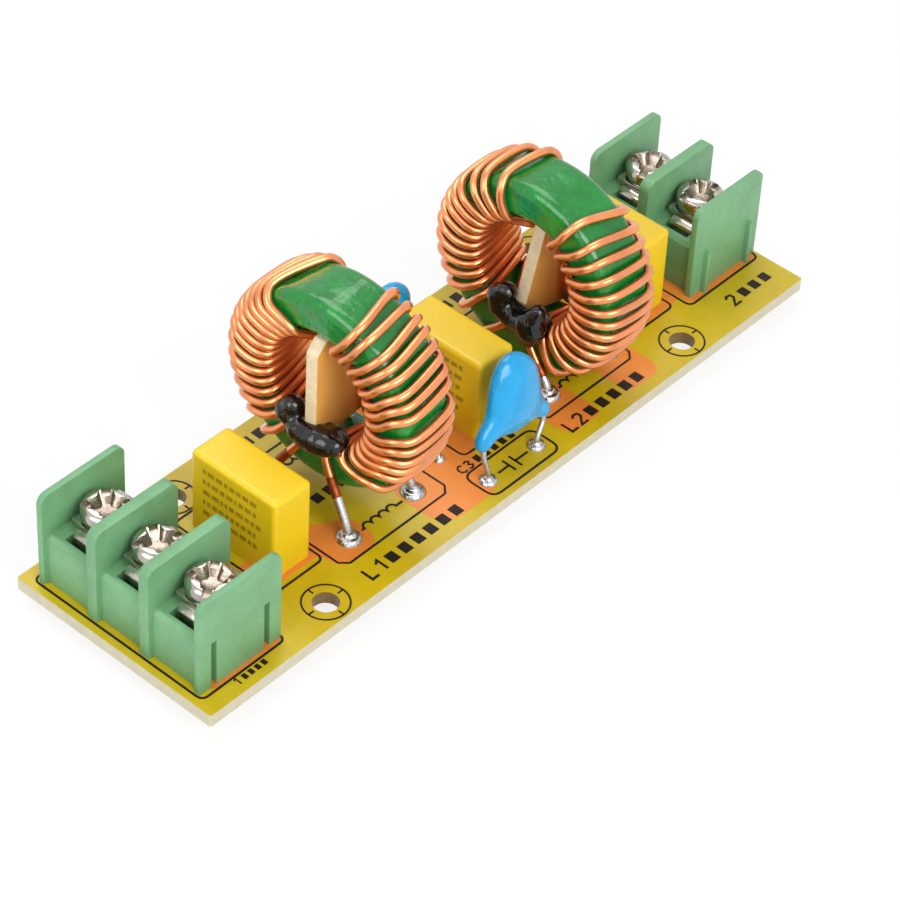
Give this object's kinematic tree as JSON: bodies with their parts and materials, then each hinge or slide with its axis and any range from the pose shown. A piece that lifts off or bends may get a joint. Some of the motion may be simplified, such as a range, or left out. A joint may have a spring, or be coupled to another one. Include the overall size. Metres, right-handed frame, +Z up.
{
  "type": "emi line filter",
  "caption": "Mains EMI line filter on a narrow circuit board: two ring common mode chokes, film and disc capacitors, and screw terminal blocks for the line in and the load out",
  "frame": {"origin": "centre of the four mounting holes, on the underside of the circuit board", "axes": "+X along the board from the three way input block to the two way output block, +Z up out of the component side, +Y across the board towards the edge that is at the back when +X points right"},
  "size_m": [0.0975, 0.0286, 0.0321],
  "materials": {
    "board": "olive yellow solder mask over orange copper areas, pale cut edges",
    "terminal_housing": "matt sea green moulding",
    "terminal_metal": "nickel plated sheet",
    "screws": "bright plated steel",
    "film_case": "smooth yellow moulding",
    "potting": "yellow casting resin",
    "tinned_lead": "tinned wire",
    "core": "green epoxy coat over ferrite",
    "winding": "enamelled copper wire",
    "divider": "cream fibre sheet",
    "glue": "glossy black elastic glue",
    "disc_coating": "blue dipped coating",
    "resistor_body": "tan lacquer",
    "solder": "bright solder"
  },
  "bodies": {
    "root": {"circuit_board": "board", "input_terminal_housing": "terminal_housing", "output_terminal_housing": "terminal_housing", "input_terminal_plates": "terminal_metal", "output_terminal_plates": "terminal_metal", "input_terminal_clamp_washers": "terminal_metal", "output_terminal_clamp_washers": "terminal_metal", "input_terminal_spring_washers": "terminal_metal", "output_terminal_spring_washers": "terminal_metal", "input_terminal_screws": "screws", "output_terminal_screws": "screws", "film_capacitor_1_case": "film_case", "film_capacitor_2_case": "film_case", "film_capacitor_3_case": "film_case", "film_capacitor_1_potting": "potting", "film_capacitor_2_potting": "potting", "film_capacitor_3_potting": "potting", "film_capacitor_1_leads": "tinned_lead", "film_capacitor_2_leads": "tinned_lead", "film_capacitor_3_leads": "tinned_lead", "disc_capacitor_front_leads": "tinned_lead", "disc_capacitor_back_leads": "tinned_lead", "discharge_resistor_leads": "tinned_lead", "choke_1_core": "core", "choke_2_core": "core", "choke_1_winding_front": "winding", "choke_1_winding_back": "winding", "choke_2_winding_front": "winding", "choke_2_winding_back": "winding", "choke_1_divider": "divider", "choke_2_divider": "divider", "choke_1_glue": "glue", "choke_2_glue": "glue", "disc_capacitor_front_body": "disc_coating", "disc_capacitor_back_body": "disc_coating", "discharge_resistor_body": "resistor_body", "solder_terminal_pins": "solder", "solder_film_capacitors": "solder", "solder_chokes": "solder", "solder_small_parts": "solder"}
  },
  "joints": []
}
